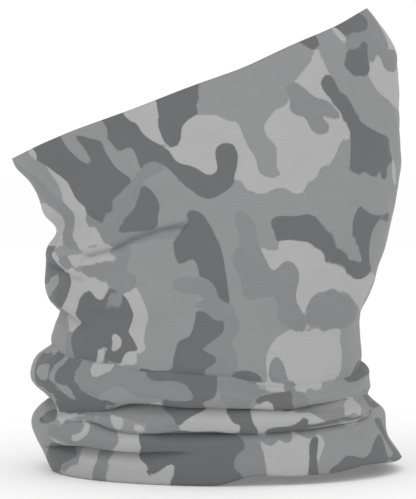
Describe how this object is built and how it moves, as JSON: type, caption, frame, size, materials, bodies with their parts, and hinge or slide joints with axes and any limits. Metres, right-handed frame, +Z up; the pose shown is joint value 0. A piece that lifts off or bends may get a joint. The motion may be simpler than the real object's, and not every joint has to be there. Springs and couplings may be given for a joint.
{
  "type": "balaclava",
  "caption": "Seamless stretch-jersey neck tube worn as a balaclava: high over the nose in front, low at the nape, gathered in soft folds round the neck, grey camouflage print.",
  "frame": {"origin": "on the ground, under the middle of the tube's overall box", "axes": "+Z up the tube, +X towards the face, +Y towards the wearer's left"},
  "size_m": [0.223, 0.148, 0.264],
  "materials": {
    "printed_jersey": "matt grey camouflage print on heathered polyester jersey"
  },
  "bodies": {
    "tube": {"nose_cover": "printed_jersey", "mouth_cover": "printed_jersey", "neck_cover": "printed_jersey", "upper_neck_fold": "printed_jersey", "middle_neck_fold": "printed_jersey", "hem_fold": "printed_jersey", "bottom_edge": "printed_jersey"},
    "top_band": {"top_edge": "printed_jersey"}
  },
  "joints": [
    {"name": "face_pull_down", "type": "hinge", "parent": "tube", "child": "top_band", "pos_m": [-0.11, 0, 0.177], "axis": [0, 1, 0], "range_deg": [0, 25], "deforming": ["nose_cover", "mouth_cover"]}
  ]
}
